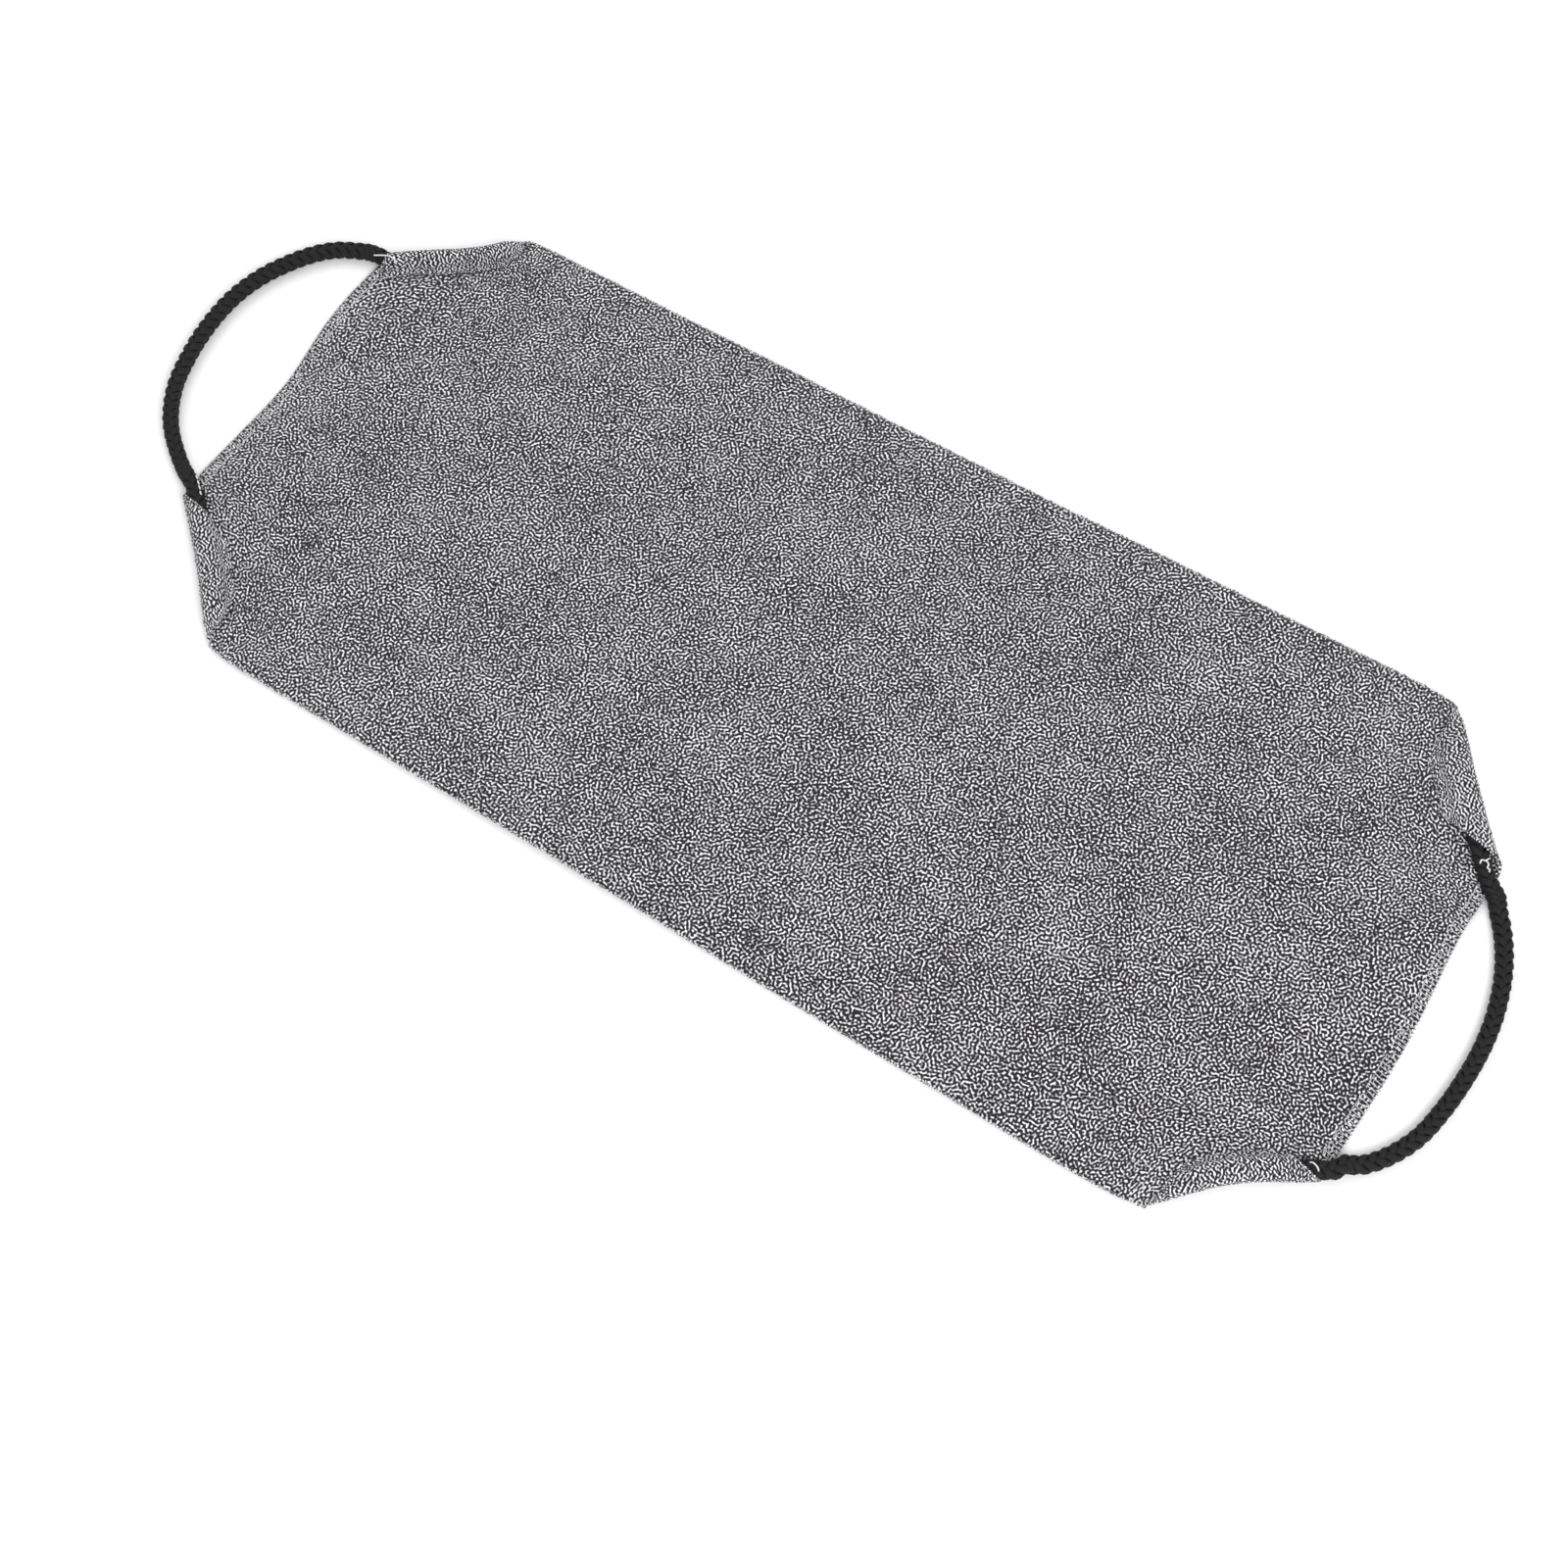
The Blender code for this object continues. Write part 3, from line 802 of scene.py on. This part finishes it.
def sheet_parts():
    """All patches as one list of points, pattern places and faces."""
    heights = np.full(octagon.shape[:2] + (1,), CLOTH_Z)
    patches = [(np.concatenate([octagon, heights], axis=-1), octagon)]
    patches += [hem_grid(name) for name in corners]
    points, flats, faces = [], [], []
    first = 0
    for place, flat in patches:
        points.append(place.reshape(-1, 3))
        flats.append(flat.reshape(-1, 2))
        faces.append(patch_faces(*place.shape[:2], first))
        first += points[-1].shape[0]
    return np.vstack(points), np.vstack(flats), np.vstack(faces)


def joined(points, flats, faces):
    """The same sheet with the points that agree on the pattern made one."""
    keys = np.round(flats / MERGE_WITHIN).astype(np.int64)
    _, kept, index = np.unique(keys, axis=0, return_index=True, return_inverse=True)
    return points[kept], flats[kept], index.reshape(-1)[faces]


points, flats, faces = joined(*sheet_parts())
points[:, 2] += ripples(flats, UNEVENNESS) + UNEVEN_MOST
points = lay(points)
uvs = flats[faces].reshape(-1, 2) / FLAT_SIZE + 0.5
cloth = mesh_object("knit_cloth", points, faces, uvs, cloth_face)
cloth.data.materials.append(cloth_back)
face_out(cloth)
if cloth.data.polygons[0].normal.z < 0:
    cloth.data.flip_normals()
wall = cloth.modifiers.new("wall", "SOLIDIFY")
wall.thickness = CLOTH_THICKNESS
wall.offset = 0
wall.material_offset = 1
print("cloth:", len(points), "points")


# %% Apply a piece's modifiers


def applied(piece):
    """Bakes a piece's modifiers into its mesh."""
    graph = bpy.context.evaluated_depsgraph_get()
    mesh = bpy.data.meshes.new_from_object(
        piece.evaluated_get(graph), preserve_all_data_layers=True, depsgraph=graph)
    piece.modifiers.clear()
    piece.data = mesh
    return piece


applied(cloth)
print("cloth with its wall:", len(cloth.data.polygons), "faces")

# %% [markdown]
# ## Rows of stitches
#
# Overlocking, seams and the little yarn loops along a knitted edge are all one small shape, repeated along a
# line. Geometry Nodes do that: the line is resampled at the stitch's pitch, the stitch is swept as a thin
# thread, and a copy is put on each point, turned to the line, with a little seeded unevenness. The same tree
# serves every row.

# %% Stitch row tree
STITCH_ROW_INPUTS = {
    "Stitch": "Object", "Pitch": "Float", "Thread": "Float", "Wander": "Float", "Seed": "Int",
    "Finish": "Material"}
THREAD_SIDES = 5
SIZE_WANDER = 0.5  # a stitch's size changes by this share of its lean

stitch_row = bpy.data.node_groups.new("stitch row", "GeometryNodeTree")
stitch_row.interface.new_socket("Geometry", in_out="INPUT", socket_type="NodeSocketGeometry")
stitch_sockets = {}
for label, kind in STITCH_ROW_INPUTS.items():
    socket = stitch_row.interface.new_socket(label, in_out="INPUT", socket_type=f"NodeSocket{kind}")
    stitch_sockets[label] = socket.identifier
stitch_row.interface.new_socket("Geometry", in_out="OUTPUT", socket_type="NodeSocketGeometry")
given = stitch_row.nodes.new("NodeGroupInput").outputs
made = stitch_row.nodes.new("NodeGroupOutput").inputs

made_by = partial(output_of, stitch_row)
calc = partial(math_node, stitch_row)
line_curve = made_by("GeometryNodeMeshToCurve", "Curve", {"Mesh": given["Geometry"]})
places = made_by(
    "GeometryNodeResampleCurve", "Curve", {"Curve": line_curve, "Length": given["Pitch"]}, mode="LENGTH")
tangent = made_by("GeometryNodeInputTangent", "Tangent")
along_line = made_by("FunctionNodeAlignRotationToVector", "Rotation", {"Vector": tangent}, axis="X")
upright = made_by(
    "FunctionNodeAlignRotationToVector", "Rotation",
    {"Rotation": along_line, "Vector": (0, 0, 1)}, axis="Z", pivot_axis="X")
lean = made_by(
    "FunctionNodeRandomValue", "Value",
    {"Min": (-1, -1, -1), "Max": (1, 1, 1), "Seed": given["Seed"]}, data_type="FLOAT_VECTOR")
lean_share = made_by(
    "ShaderNodeVectorMath", "Vector", {0: lean, "Scale": given["Wander"]}, operation="SCALE")
lean_turn = made_by("FunctionNodeEulerToRotation", "Rotation", {"Euler": lean_share})
turned = made_by(
    "FunctionNodeRotateRotation", "Rotation", {"Rotation": upright, "Rotate By": lean_turn},
    rotation_space="LOCAL")
size = calc("ADD", calc("MULTIPLY", lean_share, SIZE_WANDER), 1.0)


def kept(geometry, label, value):
    """The line, holding that value at each of its points, and the value for later use."""
    node = add_node(stitch_row, "GeometryNodeCaptureAttribute", domain="POINT")
    node.capture_items.new("FLOAT", label)
    stitch_row.links.new(geometry, node.inputs["Geometry"])
    stitch_row.links.new(value, node.inputs[label])
    return node.outputs["Geometry"], node.outputs[label]


stitch_shape = made_by("GeometryNodeObjectInfo", "Geometry", {"Object": given["Stitch"]})
stitch_line = made_by("GeometryNodeMeshToCurve", "Curve", {"Mesh": stitch_shape})
run = add_node(stitch_row, "GeometryNodeSplineParameter").outputs
stitch_line, run_length = kept(stitch_line, "run", run["Length"])
ring = made_by("GeometryNodeCurvePrimitiveCircle", "Curve", {
    "Resolution": THREAD_SIDES, "Radius": calc("MULTIPLY", given["Thread"], 0.5)})
ring, run_round = kept(ring, "round", run["Factor"])
thread = made_by("GeometryNodeCurveToMesh", "Mesh", {
    "Curve": stitch_line, "Profile Curve": ring, "Fill Caps": True})
thread_map = made_by("ShaderNodeCombineXYZ", "Vector", {"X": run_length, "Y": run_round})
thread = made_by(
    "GeometryNodeStoreNamedAttribute", "Geometry",
    {"Geometry": thread, "Name": "flat", "Value": thread_map}, data_type="FLOAT2", domain="CORNER")
copies = made_by("GeometryNodeInstanceOnPoints", "Instances", {
    "Points": places, "Instance": thread, "Rotation": turned, "Scale": size})
real = made_by("GeometryNodeRealizeInstances", "Geometry", {"Geometry": copies})
smooth = made_by("GeometryNodeSetShadeSmooth", "Geometry", {"Geometry": real})
finish = made_by(
    "GeometryNodeSetMaterial", "Geometry", {"Geometry": smooth, "Material": given["Finish"]})
stitch_row.links.new(finish, made["Geometry"])
print("stitch row inputs:", ", ".join(STITCH_ROW_INPUTS))

# %% Lines and stitch shapes


def line_object(name, points):
    """An object that is only a line through the points, for a stitch row to read."""
    mesh = bpy.data.meshes.new(name)
    edges = [(index, index + 1) for index in range(len(points) - 1)]
    mesh.from_pydata(np.asarray(points).tolist(), edges, [])
    return add_object(name, mesh)


def sew(name, line, shape, pitch, thread, finish, wander, seed):
    """A row of stitches along the line, as a plain mesh. The shape is in millimetres: along, left and up."""
    stitch = line_object("stitch", np.array(shape) * MM)
    piece = line_object(name, line)
    row = piece.modifiers.new("stitches", "NODES")
    row.node_group = stitch_row
    for label, value in zip(STITCH_ROW_INPUTS, (stitch, pitch, thread, wander, seed, finish)):
        row[stitch_sockets[label]] = value
    applied(piece)
    piece.data.materials.clear()
    piece.data.materials.append(finish)
    piece.data.polygons.foreach_set("material_index", [0] * len(piece.data.polygons))
    bpy.data.objects.remove(stitch)
    return piece


def leftward(line, outward):
    """The same line, run in the direction that has its outward side on the left."""
    ahead = line[-1, :2] - line[0, :2]
    outward = np.asarray(outward)[:2]
    return line if ahead[0] * outward[1] - ahead[1] * outward[0] > 0 else line[::-1]


# %% [markdown]
# ### The end edges' overlocking
#
# Between its two mouths each end edge is bound by an overlock stitch. A thread goes over the edge from a line
# on one face to the same line on the other, a few times for each centimetre, and at the line it loops into
# the next stitch.

# %% Overlocking
OVERLOCK_HALF = 72 * MM
OVERLOCK_PITCH = 2.2 * MM
OVERLOCK_THREAD = 0.5 * MM
OVERLOCK_LINE_POINTS = 60
EDGE_Z = CLOTH_Z + UNEVEN_MOST
OVERLOCK_STITCH = [
    (-2.3, -4.9, 0.95), (-1.1, -5.3, 1.1), (0, -4.9, 1.0), (0.5, -2.6, 1.12), (0.9, -0.2, 1.0),
    (1.0, 0.45, 0.1), (0.8, -0.2, -0.9), (0.2, -3, -0.95), (0, -4.9, -0.9)]

edge_pieces = {}
for end_name, side in SIDES.items():
    across = np.linspace(-OVERLOCK_HALF, OVERLOCK_HALF, OVERLOCK_LINE_POINTS)
    edge_line = lay([(side * HALF_LENGTH, y, EDGE_Z) for y in across])
    overlock = sew(
        f"{end_name}_end_stitches", leftward(edge_line, (side, 0)), OVERLOCK_STITCH,
        OVERLOCK_PITCH, OVERLOCK_THREAD, grey_thread, wander=0.08, seed=3)
    edge_pieces[overlock] = (f"{end_name}_cloth", "grey_thread", [f"{end_name}_end_overlock"])
    print(overlock.name, len(overlock.data.polygons), "faces")

# %% [markdown]
# ### The knit's edge loops
#
# A knitted edge isn't a clean line: each row of yarn turns round in a small loop there. One fine loop after
# another along the long edges, the creases, the hems' sewn edges and their mouths gives that edge.

# %% Edge loops
EDGE_LOOP = [(-0.5, -0.6, -0.2), (-0.55, 0.4, 0.1), (0, 0.95, 0.3), (0.55, 0.4, 0.1), (0.5, -0.6, -0.2)]
EDGE_PITCH = 1.25 * MM
EDGE_YARN = 0.62 * MM
EDGE_LINE_POINTS = 200
EDGE_WANDER = 0.45
BORDER_YARNS = {"crease": EDGE_YARN, "sewn": EDGE_YARN, "mouth": 0.7 * MM, "end": EDGE_YARN}



def edge_loops(name, line, outward, yarn_size, seed):
    """Loops along that line of the true shape, standing on its outward side."""
    return sew(
        f"{name}_loops", leftward(lay(line), outward), EDGE_LOOP, EDGE_PITCH, yarn_size, edge_yarn,
        EDGE_WANDER, seed)


long_edges = {}
for edge_name, rear in EDGES.items():
    reach = np.linspace(-HALF_LENGTH + CUT_LENGTH, HALF_LENGTH - CUT_LENGTH, EDGE_LINE_POINTS)
    long_line = [(x, rear * HALF_WIDTH, EDGE_Z) for x in reach]
    long_edges[edge_name] = edge_loops(f"{edge_name}_edge", long_line, (0, rear), EDGE_YARN, seed=11)
    print(long_edges[edge_name].name, len(long_edges[edge_name].data.polygons), "faces")


def hem_border(name, which):
    """A line on a hem: its crease, its sewn edge, its mouth or its end, and the direction that it faces."""
    place, _ = hem_grid(name)
    corner = corners[name]
    crease_row = int(np.argmin(hem_section(name)[0]))
    borders = {
        "crease": (place[crease_row], -corner.inward),
        "sewn": (place[-1], corner.inward),
        "mouth": (place[crease_row:, 0], -corner.along),
        "end": (place[crease_row:, -1], corner.along),
    }
    return borders[which]


for name in corners:
    for which, yarn_size in BORDER_YARNS.items():
        border, outward = hem_border(name, which)
        loops = edge_loops(f"{name}_{which}", border, outward, yarn_size, seed=17)
        edge_pieces[loops] = (corners[name].body, "grey_knit", [])
print("rows of edge loops:", len(long_edges) + len(BORDER_YARNS) * len(corners))

# %% [markdown]
# ### The hem seams
#
# Each hem is sewn down right at its edge, in short stitches that pull it into the knit. Their thread is near
# black, so from above they read as one thin dark line: a real seam, darkened into painted shadow under the
# hem's sewn edge.

# %% Hem seams
SEAM_STITCH = [(-1.2, 0.15, -0.7), (-0.9, 0.1, 0.0), (0, 0, 0.15), (0.9, -0.1, 0.0), (1.2, -0.15, -0.7)]
SEAM_PITCH = 2.5 * MM
SEAM_THREAD = 0.85 * MM
SEAM_PAST = 0.5 * MM  # how far past the hem's edge the thread lies
SEAM_DOWN = 0.1 * MM

for name, corner in corners.items():
    place, _ = hem_grid(name)
    seam_line = lay(place[-1, 1:-1] + (*(SEAM_PAST * corner.inward), -SEAM_DOWN))
    # The near-black seam thread paints the shadow line under each hem's sewn edge.
    seam = sew(
        f"{name}_seam", seam_line, SEAM_STITCH, SEAM_PITCH, SEAM_THREAD, seam_shadow_thread, wander=0.1, seed=5)
    edge_pieces[seam] = (corner.body, "grey_thread", [f"{name}_hem_seam"])
print("seams:", len(corners))

# %% [markdown]
# ### The stitches at the mouths
#
# White thread tacks the rope down at each mouth. No two were sewn alike: one is a running stitch along the
# rope, one a single stitch, one a long stitch from the rope over its hem, and one ends in loose curls. Each
# is drawn as short lines on the rope's top: millimetres along it from the mouth, towards the loop,
# millimetres to its side, and a lift above it.

# %% Mouth stitches
TACK_THREAD = 0.75 * MM
TACK_SIDES = 6
TACK_STEP = 0.35 * MM
TACK_REACH = ROPE_DIAMETER / 2 + 0.5 * MM  # to the rope's side, where its top has fallen to its middle
DASH = [(-0.9, 0, -0.5), (-0.6, 0, 0.15), (0, 0, 0.35), (0.6, 0, 0.15), (0.9, 0, -0.5)]
TACK_LINES = {
    "left_front": [[(x + go, y - 2.4 - 0.12 * go, z) for x, y, z in DASH] for go in (-2.2, 0.8, 3.4, 6.4)],
    "right_front": [
        [(-1.5, 1.2, -0.5), (-0.6, 0.8, 0.5), (1.0, -0.4, 0.7), (2.2, -1.6, 0.3), (2.6, -2.0, -0.6)]],
    "left_rear": [
        [(8.5, 2.6, -0.3), (6.5, 2.4, 0.5), (4.5, 1.8, 0.9), (2.8, 1.6, 1.6), (1.2, 1.8, 2.3),
         (-0.6, 2.6, 2.5), (-1.8, 3.8, 3.0)]],
    "right_rear": [
        [(-2.8, 3.6, -0.8), (-1.8, 1.8, 0.6), (-1.2, 0.2, 0.9), (-1.9, -1.2, 0.7), (-0.6, -2.2, 0.4)],
        [(-1.4, 0.6, 0.6), (0.6, 1.2, 0.9), (2.2, 0.2, 0.6), (3.2, 1.0, 0.6), (4.4, 0.4, 0.2)]],
}


def on_rope(name, lines):
    """Those lines, carried from the rope's top at one mouth into the model's frame."""
    end_name = corners[name].end_name
    rope_line = rope_lines[end_name]
    _, aside, over = frames_along(rope_line)
    entry = lay(corners[name].at(MOUTH_ALONG, CASED_INSET * HEM_SHARES[name], CASED_Z))[0]
    start = int(np.argmin(np.linalg.norm(rope_line - entry, axis=1)))
    towards_loop = 1 if start < len(rope_line) / 2 else -1
    high = pressed(rope_line, end_name)[1]
    carried = []
    for line in lines:
        along, side_way, lift = np.array(line).T * MM
        index = np.clip(start + towards_loop * along / ROPE_STEP, 0, len(rope_line) - 1)
        whole = np.round(index).astype(int)
        roundness = np.sqrt(np.clip(1 - (side_way / TACK_REACH) ** 2, 0, 1))
        top = ROPE_DIAMETER / 2 * high[whole] * roundness + lift
        base = np.column_stack([np.interp(index, np.arange(len(rope_line)), axis) for axis in rope_line.T])
        carried.append(
            base + towards_loop * side_way[:, None] * aside[whole] + top[:, None] * over[whole])
    return carried


for name, lines in TACK_LINES.items():
    tubes = []
    for line in on_rope(name, lines):
        fine = smooth_line(line, TACK_STEP)
        tubes.append(tube_rings(fine, frames_along(fine), TACK_THREAD / 2, TACK_SIDES))
    tack = join_tubes(f"{name}_mouth_stitches", tubes, TACK_STEP, white_thread)
    edge_pieces[tack] = (corners[name].body, "white_thread", [f"{name}_mouth_tack"])
    print(tack.name, len(tubes), "stitches")

# %% [markdown]
# ## Light and floor
#
# A plain pale floor, a white surround and two large soft lamps, as for a catalogue. The stronger lamp stands
# to the front and right, so that side of the cloth is a little brighter.

# %% Studio
FLOOR_SIZE = 6.0
FLOOR_DROP = 0.2 * MM
FLOOR_COLOURS = ((0.93, 0.93, 0.935), (0.95, 0.95, 0.955))
LAMPS = {  # where each lamp stands, how wide it is, and its watts
    "key_lamp": ((0.9, -0.7, 1.3), 0.9, 17),
    "fill_lamp": ((-1.2, 0.6, 1.6), 1.4, 10),
}
SURROUND_STRENGTH = 0.75

floor_material, tree, shader = new_material("pale floor", roughness=0.9)
floor_grain = noise(tree, on_object(tree), scale=4.0)
tree.links.new(mix_colours(tree, floor_grain, *FLOOR_COLOURS), shader.inputs["Base Color"])
half = FLOOR_SIZE / 2
floor_map = [(0, 0), (1, 0), (1, 1), (0, 1)]
floor_corners = [(x * FLOOR_SIZE - half, y * FLOOR_SIZE - half, -FLOOR_DROP) for x, y in floor_map]
floor = mesh_object("floor", floor_corners, [(0, 1, 2, 3)], floor_map, floor_material)

for name, (place, width, watts) in LAMPS.items():
    lamp_data = bpy.data.lights.new(name, "AREA")
    lamp_data.shape = "DISK"
    lamp_data.size = width
    lamp_data.energy = watts
    lamp = add_object(name, lamp_data)
    lamp.location = place
    lamp.rotation_euler = (-Vector(place)).to_track_quat("-Z", "Y").to_euler()

world = bpy.data.worlds.new("white surround")
world.use_nodes = True
surround = world.node_tree.nodes["Background"].inputs
surround["Color"].default_value = (1, 1, 1, 1)
surround["Strength"].default_value = SURROUND_STRENGTH
bpy.context.scene.world = world
bpy.context.scene.view_settings.view_transform = "Standard"
print("lamps:", sorted(light.name for light in bpy.data.lights))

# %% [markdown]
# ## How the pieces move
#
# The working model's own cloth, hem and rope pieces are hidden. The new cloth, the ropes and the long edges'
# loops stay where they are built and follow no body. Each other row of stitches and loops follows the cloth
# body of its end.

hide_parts("left_cloth_half", "right_cloth_half", *(f"{name}_corner_hem" for name in corners))
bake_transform(cloth)

for end_name, rope in ropes.items():
    side = SIDES[end_name]
    line = rope_lines[end_name]
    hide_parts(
        f"{end_name}_rope_loop", f"{end_name}_rear_rope_tail", f"{end_name}_front_rope_tail")
    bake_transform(rope)

for loops in long_edges.values():
    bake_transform(loops)
for piece, (body, slot_name, stands_for) in edge_pieces.items():
    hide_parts(*stands_for)
    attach(piece, body)
